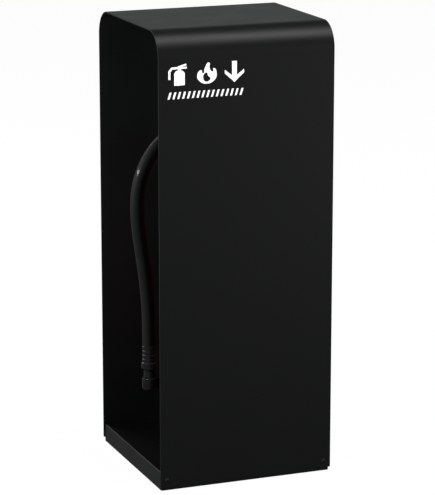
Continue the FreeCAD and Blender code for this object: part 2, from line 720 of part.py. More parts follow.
def safety_pin():
    """Steel pin through lever and ears, with a collar and a stub in the pull ring."""
    length = LEVER_OUTER + PIN_END_BEYOND_LEVER - pin_stop_y()
    place = V(PIN_X, pin_stop_y(), PIN_Z)
    pin = rod(place, Y_AXIS, length, PIN_RADIUS)
    tip = edges_where(pin, lambda point, edge: point.y > LEVER_OUTER)
    pin = pin.makeChamfer(PIN_RADIUS / 2, [edge for edge in tip if edge.Closed])
    collar = rod(place, -Y_AXIS, PIN_STOP_THICKNESS, PIN_STOP_RADIUS)
    return pin.fuse(collar)


def pull_ring():
    """Moulded finger ring on the pin's collar."""
    seat = pin_stop_y() - PIN_STOP_THICKNESS
    centre = V(PIN_X, seat - RING_RADIUS - RING_WIRE, PIN_Z)
    ring = Part.makeTorus(RING_RADIUS, RING_WIRE, centre, X_AXIS)
    root = rod(V(PIN_X, seat, PIN_Z), -Y_AXIS, RING_ROOT, RING_WIRE)
    return ring.fuse(root)


def gauge_place(distance):
    """Point on the gauge's axis, at a distance out from the valve's middle."""
    return V(0, -distance, GAUGE_Z)


def gauge_case():
    """Shallow round cup for the dial, with a thicker floor and a rounded rim."""
    case = rod(gauge_place(GAUGE_REACH), -Y_AXIS, GAUGE_THICKNESS, GAUGE_RADIUS)
    rims = [edge for edge in case.Edges if edge.Closed]
    case = case.makeFillet(GAUGE_ROUND, rims)
    pocket = rod(
        gauge_place(GAUGE_REACH + GAUGE_FLOOR), -Y_AXIS, GAUGE_THICKNESS,
        GAUGE_RADIUS - GAUGE_WALL)
    return case.cut(pocket)


def gauge_dial():
    """Printed disc on the case's floor, with the needle's spindle."""
    start = gauge_place(GAUGE_REACH + GAUGE_FLOOR)
    disc = rod(start, -Y_AXIS, DIAL_THICKNESS, GAUGE_RADIUS - GAUGE_WALL)
    spindle = rod(start, -Y_AXIS, DIAL_THICKNESS + SPINDLE_HEIGHT, SPINDLE_RADIUS)
    return disc.fuse(spindle)


def gauge_needle():
    """Flat pointer with a hub on the spindle and a short tail that balances it."""
    back = GAUGE_REACH + GAUGE_FLOOR + DIAL_THICKNESS + NEEDLE_LIFT
    corners = [
        V(-NEEDLE_TIP_HALF_WIDTH, 0, NEEDLE_REACH), V(NEEDLE_TIP_HALF_WIDTH, 0, NEEDLE_REACH),
        V(NEEDLE_TAIL_HALF_WIDTH, 0, -NEEDLE_TAIL), V(-NEEDLE_TAIL_HALF_WIDTH, 0, -NEEDLE_TAIL),
    ]
    blade = Part.Face(Part.makePolygon(corners + corners[:1]))
    blade.translate(gauge_place(back))
    blade = blade.extrude(V(0, -NEEDLE_THICKNESS, 0))
    hub = rod(gauge_place(back), -Y_AXIS, NEEDLE_THICKNESS, NEEDLE_HUB_RADIUS)
    needle = blade.fuse(hub)
    bore = rod(gauge_place(back), -Y_AXIS, NEEDLE_THICKNESS, SPINDLE_RADIUS + NEEDLE_CLEARANCE)
    return needle.cut(bore)


def gauge_lens():
    """Clear window pressed into the case's rim."""
    front = GAUGE_REACH + GAUGE_THICKNESS - LENS_SET_BACK
    start = gauge_place(front - LENS_THICKNESS)
    return rod(start, -Y_AXIS, LENS_THICKNESS, GAUGE_RADIUS - GAUGE_WALL)


def hose_nut():
    """Union nut that holds the hose's sleeve on the outlet."""
    start = HOSE_START - OUTLET_DIRECTION * (HOSE_SLEEVE_LENGTH + HOSE_NUT_LENGTH)
    nut = hexagon(HOSE_NUT_ACROSS_FLATS, HOSE_NUT_LENGTH, start, OUTLET_DIRECTION)
    bore = rod(start, OUTLET_DIRECTION, HOSE_NUT_LENGTH, OUTLET_RADIUS + THREAD_CLEARANCE)
    return nut.cut(bore)


def hose_sleeve():
    """Sleeve that the hose is crimped in, behind the union nut."""
    start = HOSE_START - OUTLET_DIRECTION * HOSE_SLEEVE_LENGTH
    sleeve = rod(start, OUTLET_DIRECTION, HOSE_SLEEVE_LENGTH, HOSE_SLEEVE_RADIUS)
    rims = [edge for edge in sleeve.Edges if edge.Closed]
    return sleeve.makeFillet(SLEEVE_ROUND, rims)


def hose_path():
    """Straight runs joined by tangent arcs, with the radius of each arc."""
    points = HOSE_POINTS
    edges = []
    radii = []
    here = points[0]
    for index in range(1, len(points) - 1):
        back = points[index - 1] - points[index]
        ahead = points[index + 1] - points[index]
        half = back.getAngle(ahead) / 2
        reach = HOSE_ARC_SHARE * min(back.Length, ahead.Length)
        radius = reach * math.tan(half)
        start = points[index] + V(back).normalize() * reach
        end = points[index] + V(ahead).normalize() * reach
        toward = (V(back).normalize() + V(ahead).normalize()).normalize()
        middle = points[index] + toward * (radius / math.sin(half) - radius)
        edges.append(Part.LineSegment(here, start).toShape())
        edges.append(Part.Arc(start, middle, end).toShape())
        radii.append(radius)
        here = end
    edges.append(Part.LineSegment(here, points[-1]).toShape())
    return Part.Wire(edges), radii


def hose():
    """Rubber hose from the sleeve at the valve to the crimp at the nozzle."""
    path, radii = hose_path()
    circle = Part.Circle(HOSE_START, OUTLET_DIRECTION, HOSE_RADIUS).toShape()
    tube = path.makePipeShell([Part.Wire([circle])], True, False)
    section = math.pi * HOSE_RADIUS ** 2
    print("hose length %.1f mm" % path.Length)
    print("hose radii", " ".join("%.0f" % radius for radius in radii))
    print("hose volume over section times length %.5f" % (tube.Volume / (section * path.Length)))
    return tube


def at_nozzle(shape):
    """Moves a shape turned about Z to the hose end's axis."""
    shape.translate(V(HOSE_END.x, HOSE_END.y, 0))
    return shape


def nozzle_crimp():
    """Crimped sleeve on the hose's end, with pressed grooves round it."""
    sleeve = turned([
        (0, UNION_TOP), (CRIMP_RADIUS, UNION_TOP),
        (CRIMP_RADIUS, HOSE_END.z - SLEEVE_ROUND),
        (CRIMP_RADIUS - SLEEVE_ROUND, HOSE_END.z), (0, HOSE_END.z),
    ])
    pitch = CRIMP_LENGTH / (CRIMP_GROOVES + 1)
    for index in range(CRIMP_GROOVES):
        middle = UNION_TOP + (index + 1) * pitch
        floor = CRIMP_RADIUS - CRIMP_GROOVE_DEPTH
        beyond = CRIMP_RADIUS + CRIMP_GROOVE_DEPTH
        groove = turned([
            (floor, middle - CRIMP_GROOVE_WIDTH / 2),
            (beyond, middle - CRIMP_GROOVE_WIDTH),
            (beyond, middle + CRIMP_GROOVE_WIDTH),
            (floor, middle + CRIMP_GROOVE_WIDTH / 2),
        ])
        sleeve = sleeve.cut(groove)
    return at_nozzle(sleeve)


def nozzle_union():
    """Round nut between the crimped sleeve and the nozzle."""
    return at_nozzle(turned([
        (0, UNION_FOOT), (UNION_RADIUS - UNION_BEVEL, UNION_FOOT),
        (UNION_RADIUS, UNION_FOOT + UNION_BEVEL),
        (UNION_RADIUS, UNION_TOP - UNION_BEVEL),
        (UNION_RADIUS - UNION_BEVEL, UNION_TOP), (0, UNION_TOP),
    ]))


def nozzle():
    """Turned nozzle, tapered to its mouth, which points down into the holder."""
    foot = UNION_FOOT - NOZZLE_LENGTH
    shoulder = CUP_TOP + CUP_CLEARANCE
    bore_top = foot + NOZZLE_BORE_DEPTH
    body = turned([
        (NOZZLE_BORE_RADIUS, foot),
        (NOZZLE_TIP_RADIUS, foot),
        (NOZZLE_RADIUS, shoulder),
        (NOZZLE_RADIUS, UNION_FOOT),
        (0, UNION_FOOT),
        (0, bore_top),
        (NOZZLE_THROAT_RADIUS, bore_top),
    ])
    return at_nozzle(body)


def nozzle_holder():
    """Moulded cup for the nozzle, on an arm from a pad against the strap."""
    cup = rod(V(HOSE_END.x, 0, CUP_FOOT), Z_AXIS, CUP_HEIGHT, CUP_OUTER_RADIUS)
    pad_inner = -STRAP_OUTER
    pad_outer = pad_inner - PAD_THICKNESS
    arm_foot = CUP_FOOT + ARM_MARGIN
    arm_height = CUP_HEIGHT - 2 * ARM_MARGIN
    arm = Part.makeBox(
        pad_inner - HOSE_END.x, ARM_THICKNESS, arm_height,
        V(HOSE_END.x, -ARM_THICKNESS / 2, arm_foot))
    pad = Part.makeBox(
        PAD_THICKNESS + PAD_HALF_WIDTH, 2 * PAD_HALF_WIDTH, arm_height,
        V(pad_outer, -PAD_HALF_WIDTH, arm_foot))
    lower = edges_where(cup, lambda point, edge: point.z < CUP_FOOT + TOUCH)
    cup = cup.makeFillet(CUP_ROUND, lower)
    upper = edges_where(cup, lambda point, edge: point.z > CUP_TOP - TOUCH)
    cup = cup.makeFillet(CUP_LIP_ROUND, upper)
    holder = cup.fuse([arm, pad])
    holder = holder.cut(rod(V(0, 0, CUP_FOOT), Z_AXIS, CUP_HEIGHT, STRAP_OUTER))
    pocket = turned([
        (0, CUP_TOP - CUP_DEPTH),
        (NOZZLE_TIP_RADIUS + CUP_CLEARANCE, CUP_TOP - CUP_DEPTH),
        (NOZZLE_RADIUS + CUP_CLEARANCE, CUP_TOP),
        (NOZZLE_RADIUS + CUP_CLEARANCE, CUP_TOP + CUP_ROUND),
        (0, CUP_TOP + CUP_ROUND),
    ])
    return holder.cut(at_nozzle(pocket)).removeSplitter()


def holder_strap():
    """Steel strap round the bottle, drawn together by a screw through its two ears."""
    foot = STRAP_MIDDLE - STRAP_WIDTH / 2
    cut_foot = V(0, 0, foot - OVERRUN)
    cut_height = STRAP_WIDTH + 2 * OVERRUN
    ear_root = STRAP_INNER - STRAP_GAP
    band = rod(V(0, 0, foot), Z_AXIS, STRAP_WIDTH, STRAP_OUTER)
    for side in (-1, 1):
        inner_x = side * STRAP_GAP / 2
        start_x = inner_x if side > 0 else inner_x - STRAP_THICKNESS
        ear = Part.makeBox(
            STRAP_THICKNESS, STRAP_OUTER + STRAP_EAR - ear_root, STRAP_WIDTH,
            V(start_x, ear_root, foot))
        band = band.fuse(ear)
    band = band.cut(rod(cut_foot, Z_AXIS, cut_height, STRAP_INNER))
    opening = Part.makeBox(
        STRAP_GAP, 2 * STRAP_GAP, cut_height, cut_foot + V(-STRAP_GAP / 2, ear_root, 0))
    band = band.cut(opening)
    start = V(-STRAP_GAP, strap_screw_y(), STRAP_MIDDLE)
    hole = rod(start, X_AXIS, 2 * STRAP_GAP, STRAP_SCREW_RADIUS + THREAD_CLEARANCE)
    return band.cut(hole).removeSplitter()


def strap_screw_y():
    """Place of the strap's screw, in the middle of its ears."""
    return STRAP_OUTER + STRAP_EAR / 2


def strap_screw():
    """Screw through the strap's ears, with its square nut at the far side."""
    seat_x = STRAP_GAP / 2 + STRAP_THICKNESS
    place = V(0, strap_screw_y(), STRAP_MIDDLE)
    shank_start = place - X_AXIS * (seat_x + STRAP_SCREW_OVERHANG)
    shank = rod(shank_start, X_AXIS, 2 * seat_x + STRAP_SCREW_OVERHANG, STRAP_SCREW_RADIUS)
    head = rod(place + X_AXIS * seat_x, X_AXIS, STRAP_SCREW_HEAD_HEIGHT, STRAP_SCREW_HEAD)
    nut = Part.makeBox(
        STRAP_SCREW_HEAD_HEIGHT, 2 * STRAP_SCREW_HEAD, 2 * STRAP_SCREW_HEAD,
        place - V(seat_x + STRAP_SCREW_HEAD_HEIGHT, STRAP_SCREW_HEAD, STRAP_SCREW_HEAD))
    return shank.fuse([head, nut])


def write(name, shape):
    """Writes one node's solids and prints its name, solid count and volume."""
    if not shape.isValid():
        print("not valid:", name)
    shape.exportStep("parts/" + name + ".step")
    print("%-16s solids %d volume %.0f" % (name, len(shape.Solids), shape.Volume))


def main():
    os.makedirs("parts", exist_ok=True)
    screws = [base_screw(side, place) for side, place in screw_places()]
    nuts = [weld_nut(side, place) for side, place in screw_places()]
    write("base_screws", Part.makeCompound(screws))
    write("weld_nuts", Part.makeCompound(nuts))
    pieces = [
        body_panel, base_tray, bottle, foot_ring, cap_nut, valve_body, valve_stem,
        carry_handle, handle_rivet, squeeze_lever, lever_pivot, safety_pin, pull_ring,
        gauge_case, gauge_dial, gauge_needle, gauge_lens, hose_nut, hose_sleeve, hose,
        nozzle_crimp, nozzle_union, nozzle, nozzle_holder, holder_strap, strap_screw,
    ]
    for piece in pieces:
        write(piece.__name__, piece())


main()
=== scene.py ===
"""Looks of a fire extinguisher floor box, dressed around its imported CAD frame, in metres."""

import json
import math

import bpy
from mathutils import Matrix, Vector

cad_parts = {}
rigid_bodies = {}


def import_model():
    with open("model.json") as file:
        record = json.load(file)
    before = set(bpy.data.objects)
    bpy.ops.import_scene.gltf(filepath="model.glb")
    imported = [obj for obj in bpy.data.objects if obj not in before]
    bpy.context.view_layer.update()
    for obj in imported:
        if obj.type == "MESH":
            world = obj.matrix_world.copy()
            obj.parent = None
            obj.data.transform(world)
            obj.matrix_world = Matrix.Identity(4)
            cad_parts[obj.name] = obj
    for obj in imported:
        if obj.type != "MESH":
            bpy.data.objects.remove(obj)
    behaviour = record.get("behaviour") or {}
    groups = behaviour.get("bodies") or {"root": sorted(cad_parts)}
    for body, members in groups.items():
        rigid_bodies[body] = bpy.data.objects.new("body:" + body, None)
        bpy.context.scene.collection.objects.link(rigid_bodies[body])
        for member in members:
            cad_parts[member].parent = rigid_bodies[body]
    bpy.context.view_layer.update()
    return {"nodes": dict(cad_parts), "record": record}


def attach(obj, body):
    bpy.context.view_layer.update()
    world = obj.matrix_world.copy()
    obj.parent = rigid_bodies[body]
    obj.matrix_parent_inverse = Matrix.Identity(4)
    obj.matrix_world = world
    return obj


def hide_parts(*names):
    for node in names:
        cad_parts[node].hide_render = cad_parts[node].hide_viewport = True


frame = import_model()
nodes = frame["nodes"]

# ---------------------------------------------------------------- camera and hose

CAMERA_PLACE = (-1.24796, -3.20486, 1.14781)
CAMERA_TILT = 76.363  # degrees from looking straight down
CAMERA_TURN = -21.346  # degrees about the upright axis
CAMERA_LENS = 178.53  # millimetres, as the sensor's width
SENSOR_WIDTH = 36.0
CAMERA_REACH = 50.0


def set_camera():
    """Long lens from the left front, a little above the box."""
    data = bpy.data.cameras.new("camera")
    data.lens = CAMERA_LENS
    data.sensor_width = SENSOR_WIDTH
    data.clip_end = CAMERA_REACH
    camera = bpy.data.objects.new("camera", data)
    camera.location = CAMERA_PLACE
    camera.rotation_euler = (math.radians(CAMERA_TILT), 0.0, math.radians(CAMERA_TURN))
    bpy.context.scene.collection.objects.link(camera)
    bpy.context.scene.camera = camera


HOSE_ROUTE = [
    (-0.0446, 0.0, 0.497),
    (-0.0630, 0.0, 0.488),
    (-0.0820, 0.0, 0.474),
    (-0.0980, 0.0, 0.455),
    (-0.1100, 0.0, 0.432),
    (-0.1170, 0.0, 0.405),
    (-0.1180, 0.0, 0.375),
    (-0.1150, 0.0, 0.340),
    (-0.1090, 0.0, 0.303),
    (-0.1040, 0.0, 0.262),
    (-0.1010, 0.0, 0.220),
    (-0.1010, 0.0, 0.178),
]
HOSE_DIAMETER = 0.020
HOSE_STEPS_ALONG = 12
HOSE_STEPS_ROUND = 10


def hose_tube():
    """The rubber hose, from the sleeve at the valve down to the crimped sleeve."""
    curve = bpy.data.curves.new("hose_tube", "CURVE")
    curve.dimensions = "3D"
    spline = curve.splines.new("NURBS")
    spline.points.add(len(HOSE_ROUTE) - 1)
    for point, place in zip(spline.points, HOSE_ROUTE):
        point.co = (*place, 1.0)
        point.radius = HOSE_DIAMETER / 2
    spline.order_u = 3
    spline.use_endpoint_u = True
    spline.resolution_u = HOSE_STEPS_ALONG
    curve.bevel_depth = 1.0
    curve.bevel_resolution = HOSE_STEPS_ROUND
    curve.use_fill_caps = True
    tube = bpy.data.objects.new("hose_tube", curve)
    bpy.context.scene.collection.objects.link(tube)
    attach(tube, "box")
    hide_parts("hose")
    return tube


# ---------------------------------------------------------------- shader nodes


def mapped(tree, value, span, target=(0.0, 1.0)):
    """Socket of a value that is carried from one span to another."""
    node = tree.nodes.new("ShaderNodeMapRange")
    node.inputs["From Min"].default_value, node.inputs["From Max"].default_value = span
    node.inputs["To Min"].default_value, node.inputs["To Max"].default_value = target
    tree.links.new(value, node.inputs["Value"])
    return node.outputs["Result"]


def product(tree, first, second):
    """Socket of two values multiplied."""
    node = tree.nodes.new("ShaderNodeMath")
    node.operation = "MULTIPLY"
    tree.links.new(first, node.inputs[0])
    tree.links.new(second, node.inputs[1])
    return node.outputs["Value"]


def object_noise(tree, scale, detail, roughness=0.5):
    """Socket of noise on the piece's own coordinates; the scale comes from a socket."""
    place = tree.nodes.new("ShaderNodeTexCoord")
    noise = tree.nodes.new("ShaderNodeTexNoise")
    noise.inputs["Detail"].default_value = detail
    noise.inputs["Roughness"].default_value = roughness
    tree.links.new(place.outputs["Object"], noise.inputs["Vector"])
    tree.links.new(scale, noise.inputs["Scale"])
    return noise.outputs["Fac"]


# ---------------------------------------------------------------- shader groups

EDGE_AGREEMENT = (0.99, 0.80)  # of the true and the rounded normal, from a plain face to a lightened edge
HIGHLIGHT_AND_WEAR_PATCHES = (0.45, 0.62)
HIGHLIGHT_AND_WEAR_WIDTH = 0.0005
HIGHLIGHT_AND_WEAR_PATCH_SCALE = 120.0
BEVEL_SAMPLES = 4
UPWARD_FACES = (0.35, 1.0)  # upright part of the normal, from clean to dusty
DUST_PATCH_SCALE = 30.0


def group(name, inputs, outputs):
    """New node group; inputs are numbers with their defaults, and outputs are numbers."""
    tree = bpy.data.node_groups.new(name, "ShaderNodeTree")
    for label, value in inputs:
        socket = tree.interface.new_socket(label, in_out="INPUT", socket_type="NodeSocketFloat")
        socket.default_value = value
    for label in outputs:
        tree.interface.new_socket(label, in_out="OUTPUT", socket_type="NodeSocketFloat")
    return tree, tree.nodes.new("NodeGroupInput"), tree.nodes.new("NodeGroupOutput")


def fine_grain_group():
    """Small bumps of a coat or moulding, and the broad cloudiness of its surface."""
    tree, entry, leave = group(
        "fine_grain", [("Scale", 900.0), ("Cloud Scale", 20.0)], ["Height", "Cloud"])
    small = object_noise(tree, entry.outputs["Scale"], detail=3.0, roughness=0.55)
    broad = object_noise(tree, entry.outputs["Cloud Scale"], detail=4.0)
    tree.links.new(small, leave.inputs["Height"])
    tree.links.new(broad, leave.inputs["Cloud"])
    return tree


def edge_highlight_and_wear_group():
    """Mask that is 1 along edges, broken up by noise, for wear and for a painted edge highlight."""
    tree, entry, leave = group(
        "edge_highlight_and_wear", [("Width", HIGHLIGHT_AND_WEAR_WIDTH), ("Patch Scale", HIGHLIGHT_AND_WEAR_PATCH_SCALE)], ["Mask"])
    plain = tree.nodes.new("ShaderNodeNewGeometry")
    rounded = tree.nodes.new("ShaderNodeBevel")
    rounded.samples = BEVEL_SAMPLES
    tree.links.new(entry.outputs["Width"], rounded.inputs["Radius"])
    agree = tree.nodes.new("ShaderNodeVectorMath")
    agree.operation = "DOT_PRODUCT"
    tree.links.new(plain.outputs["Normal"], agree.inputs[0])
    tree.links.new(rounded.outputs["Normal"], agree.inputs[1])
    edge = mapped(tree, agree.outputs["Value"], EDGE_AGREEMENT)
    patches = object_noise(tree, entry.outputs["Patch Scale"], detail=5.0)
    tree.links.new(product(tree, edge, mapped(tree, patches, HIGHLIGHT_AND_WEAR_PATCHES)), leave.inputs["Mask"])
    return tree


def settled_dust_group():
    """Mask of thin dust on faces that look up."""
    tree, entry, leave = group(
        "settled_dust", [("Amount", 0.3), ("Patch Scale", DUST_PATCH_SCALE)], ["Mask"])
    surface = tree.nodes.new("ShaderNodeNewGeometry")
    axes = tree.nodes.new("ShaderNodeSeparateXYZ")
    tree.links.new(surface.outputs["Normal"], axes.inputs["Vector"])
    upward = mapped(tree, axes.outputs["Z"], UPWARD_FACES)
    patches = object_noise(tree, entry.outputs["Patch Scale"], detail=6.0)
    layer = product(tree, product(tree, upward, patches), entry.outputs["Amount"])
    tree.links.new(layer, leave.inputs["Mask"])
    return tree


GRAIN = fine_grain_group()
EDGE_HIGHLIGHT_AND_WEAR = edge_highlight_and_wear_group()
DUST = settled_dust_group()


# ---------------------------------------------------------------- materials

CLOUD_SPAN = (0.3, 0.7)  # what the broad noise mostly gives
DUST_COLOUR = (0.30, 0.29, 0.27)


def material(name, colour, roughness, metallic=0.0):
    """New material with a plain shader; returns the material and the shader."""
    made = bpy.data.materials.new(name)
    made.use_nodes = True
    made.diffuse_color = (*colour, 1.0)
    shader = made.node_tree.nodes["Principled BSDF"]
    shader.inputs["Base Color"].default_value = (*colour, 1.0)
    shader.inputs["Roughness"].default_value = roughness
    shader.inputs["Metallic"].default_value = metallic
    return made, shader


def effect(made, tree, **values):
    """Places a shader group in a material, with its own values where some are given."""
    node = made.node_tree.nodes.new("ShaderNodeGroup")
    node.node_tree = tree
    for label, value in values.items():
        node.inputs[label].default_value = value
    return node


def tint(made, shader, mask, colour):
    """Blends the base colour towards a colour where the mask is 1."""
    tree = made.node_tree
    blend = tree.nodes.new("ShaderNodeMix")
    blend.data_type = "RGBA"
    base = shader.inputs["Base Color"]
    if base.is_linked:
        tree.links.new(base.links[0].from_socket, blend.inputs["A"])
    else:
        blend.inputs["A"].default_value = base.default_value
    blend.inputs["B"].default_value = (*colour, 1.0)
    tree.links.new(mask, blend.inputs["Factor"])
    tree.links.new(blend.outputs["Result"], base)


def cloudy_roughness(made, shader, cloud, low_and_high):
    """Roughness that goes from low to high with the broad noise."""
    rough = mapped(made.node_tree, cloud, CLOUD_SPAN, low_and_high)
    made.node_tree.links.new(rough, shader.inputs["Roughness"])


def relief(made, shader, height, depth):
    """Bump of a depth in metres."""
    tree = made.node_tree
    bump = tree.nodes.new("ShaderNodeBump")
    bump.inputs["Distance"].default_value = depth
    bump.inputs["Strength"].default_value = 1.0
    tree.links.new(height, bump.inputs["Height"])
    tree.links.new(bump.outputs["Normal"], shader.inputs["Normal"])


def coated(name, colour, cloud_colour, roughness, grain_scale, depth, metallic=0.0, edge_highlight_and_wear_colour=None,
           dust=0.0, ior=1.5, coat=None):
    """Coat, moulding or metal: cloudy colour, fine relief, lighter edges and a little dust."""
    made, shader = material(name, colour, roughness[0], metallic)
    shader.inputs["IOR"].default_value = ior
    grain = effect(made, GRAIN, Scale=grain_scale)
    tint(made, shader, grain.outputs["Cloud"], cloud_colour)
    cloudy_roughness(made, shader, grain.outputs["Cloud"], roughness)
    relief(made, shader, grain.outputs["Height"], depth)
    # Lighter edges; on the black box coat they are a painted highlight, not wear.
    if edge_highlight_and_wear_colour:
        tint(made, shader, effect(made, EDGE_HIGHLIGHT_AND_WEAR).outputs["Mask"], edge_highlight_and_wear_colour)
    if dust:
        tint(made, shader, effect(made, DUST, Amount=dust).outputs["Mask"], DUST_COLOUR)
    if coat:
        shader.inputs["Coat Weight"].default_value = coat[0]
        shader.inputs["Coat Roughness"].default_value = coat[1]
    return made


def clear_window():
    """Clear glazing of the gauge, very slightly cloudy."""
    made, shader = material("clear_window", (0.97, 0.98, 0.98), 0.05)
    shader.inputs["Transmission Weight"].default_value = 1.0
    shader.inputs["IOR"].default_value = 1.45
    cloudy_roughness(made, shader, effect(made, GRAIN).outputs["Cloud"], (0.02, 0.07))
    return made


def all_materials():
    """Every finish by the name of its slot in the record."""
    return {
        # Its lighter edges are a painted edge highlight, not wear.
        "black_coat": coated(
            "black_powder_coat", (0.0024, 0.0030, 0.0028), (0.0032, 0.0038, 0.0036),
            roughness=(0.37, 0.41), grain_scale=1400.0, depth=0.00004,
            edge_highlight_and_wear_colour=(0.02, 0.02, 0.02), dust=0.004, ior=1.40),
        "zinc_steel": coated(
            "zinc_plate", (0.60, 0.61, 0.63), (0.48, 0.49, 0.50),
            roughness=(0.25, 0.42), grain_scale=700.0, depth=0.00002, metallic=1.0),
        "black_screw": coated(
            "black_screw_finish", (0.003, 0.003, 0.003), (0.005, 0.005, 0.005),
            roughness=(0.38, 0.46), grain_scale=1800.0, depth=0.00002,
            edge_highlight_and_wear_colour=(0.03, 0.03, 0.03), ior=1.40),
        "red_paint": coated(
            "red_enamel", (0.52, 0.012, 0.010), (0.45, 0.010, 0.008),
            roughness=(0.16, 0.26), grain_scale=260.0, depth=0.00002, dust=0.12),
        "black_plastic": coated(
            "black_moulding", (0.0040, 0.0040, 0.0044), (0.0060, 0.0060, 0.0064),
            roughness=(0.22, 0.30), grain_scale=1100.0, depth=0.00002, dust=0.03, ior=1.34),
        "cast_valve": coated(
            "forged_alloy", (0.66, 0.66, 0.64), (0.55, 0.55, 0.54),
            roughness=(0.32, 0.48), grain_scale=900.0, depth=0.00005, metallic=1.0),
        "lever_steel": coated(
            "lever_enamel", (0.014, 0.014, 0.015), (0.018, 0.018, 0.019),
            roughness=(0.26, 0.36), grain_scale=500.0, depth=0.00003,
            edge_highlight_and_wear_colour=(0.35, 0.35, 0.36), dust=0.08),
        "yellow_plastic": coated(
            "yellow_moulding", (0.80, 0.52, 0.012), (0.74, 0.47, 0.010),
            roughness=(0.30, 0.42), grain_scale=600.0, depth=0.00003, dust=0.08),
        "gauge_face": coated(
            "dial_enamel", (0.82, 0.82, 0.80), (0.76, 0.76, 0.73),
            roughness=(0.45, 0.55), grain_scale=1500.0, depth=0.00001),
        "gauge_pointer": coated(
            "pointer_paint", (0.012, 0.012, 0.012), (0.02, 0.02, 0.02),
            roughness=(0.40, 0.50), grain_scale=1500.0, depth=0.00001),
        "clear_window": clear_window(),
        "hose_rubber": coated(
            "hose_rubber", (0.0064, 0.0064, 0.0072), (0.0082, 0.0082, 0.0090),
            roughness=(0.56, 0.64), grain_scale=900.0, depth=0.00005, ior=1.27,
            coat=(0.14, 0.12)),
        "black_metal": coated(
            "blackened_metal", (0.005, 0.005, 0.006), (0.008, 0.008, 0.009),
            roughness=(0.18, 0.28), grain_scale=1600.0, depth=0.00002,
            edge_highlight_and_wear_colour=(0.10, 0.10, 0.10), ior=1.35),
    }


def dress_nodes(finishes):
    """Gives every CAD node the finish of its slot."""
    for part in frame["record"]["subparts"]:
        mesh = nodes[part["node"]].data
        mesh.materials.clear()
        mesh.materials.append(finishes[part["material_slot"]])


# ---------------------------------------------------------------- printed signs

BOX_FRONT = -0.125
PRINT_THICKNESS = 0.00012
OUTLINE_STEPS = 8
UPRIGHT = Matrix.Rotation(math.radians(90), 4, "X")  # from lying flat to facing the front
SIGNS_FOOT = 0.5765
HATCH_BARS = 16
HATCH_LENGTH = 0.112
HATCH_HEIGHT = 0.0095
BAR_WIDTH = 0.0029
BAR_LEAN = 0.0030


def flat_shape(name, loops):
    """Thin mesh filled between loops; a loop is its (x, z) points and whether it is smooth."""
    curve = bpy.data.curves.new(name, "CURVE")
    curve.dimensions = "2D"
    curve.fill_mode = "BOTH"
    curve.extrude = PRINT_THICKNESS / 2
    curve.resolution_u = OUTLINE_STEPS
    for points, smooth in loops:
        spline = curve.splines.new("BEZIER")
        spline.bezier_points.add(len(points) - 1)
        for knot, (x, z) in zip(spline.bezier_points, points):
            knot.co = (x, z, 0)
            knot.handle_left_type = "AUTO" if smooth else "VECTOR"
            knot.handle_right_type = "AUTO" if smooth else "VECTOR"
        spline.use_cyclic_u = True
    shape = bpy.data.objects.new(name, curve)
    bpy.context.scene.collection.objects.link(shape)
    mesh = bpy.data.meshes.new_from_object(shape)
    bpy.data.objects.remove(shape)
    made = bpy.data.objects.new(name, mesh)
    bpy.context.scene.collection.objects.link(made)
    mesh.transform(UPRIGHT)
    return made


def put_print(shape, finish, left, face, foot):
    """Lays a flat shape on a face that looks to the front."""
    shape.data.transform(Matrix.Translation((left, face - PRINT_THICKNESS / 2, foot)))
    shape.data.materials.append(finish)
    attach(shape, "box")


def put_sign(shape, finish, left, foot, stretch=1.0):
    """Sets a flat shape on the box's front, widened to the right by a factor."""
    shape.data.transform(Matrix.Diagonal((stretch, 1.0, 1.0, 1.0)))
    put_print(shape, finish, left, BOX_FRONT, foot)


def flame_sign(finish):
    """Flame with a smaller tongue cut out of its foot."""
    outer = [
        (0.013, 0.000), (0.003, 0.005), (0.001, 0.013), (0.006, 0.019), (0.008, 0.0145),
        (0.0105, 0.022), (0.016, 0.029), (0.0165, 0.022), (0.0205, 0.0165), (0.0215, 0.021),
        (0.0255, 0.013), (0.023, 0.005),
    ]
    inner = [(0.013, 0.003), (0.0085, 0.007), (0.0125, 0.0155), (0.0145, 0.011), (0.0175, 0.007)]
    shape = flat_shape("sign_flame", [(outer, True), (inner, True)])
    put_sign(shape, finish, left=-0.0750, foot=SIGNS_FOOT, stretch=1.16)


def bottle_sign(finish):
    """Silhouette of an extinguisher with its lever and hose."""
    body = [
        (0.008, 0.000), (0.008, 0.0165), (0.010, 0.0195), (0.0125, 0.0205), (0.0125, 0.0225),
        (0.006, 0.0225), (0.0035, 0.019), (0.0035, 0.0085), (0.0008, 0.0085), (0.0008, 0.020),
        (0.0045, 0.0253), (0.0125, 0.0253), (0.0125, 0.0262), (0.0225, 0.0295), (0.0232, 0.0272),
        (0.0175, 0.0253), (0.0235, 0.0253), (0.0235, 0.0228), (0.0165, 0.0225), (0.0165, 0.0205),
        (0.019, 0.0195), (0.021, 0.0165), (0.021, 0.000),
    ]
    shape = flat_shape("sign_extinguisher", [(body, False)])
    put_sign(shape, finish, left=-0.1168, foot=SIGNS_FOOT, stretch=1.18)


def arrow_sign(finish):
    """Plain arrow that points down at what stands inside."""
    arrow = [
        (0.0125, 0.000), (0.0005, 0.0125), (0.0005, 0.0175), (0.0095, 0.0095), (0.0095, 0.029),
        (0.0155, 0.029), (0.0155, 0.0095), (0.0245, 0.0175), (0.0245, 0.0125),
    ]
    shape = flat_shape("sign_arrow", [(arrow, False)])
    put_sign(shape, finish, left=-0.0342, foot=SIGNS_FOOT, stretch=1.18)


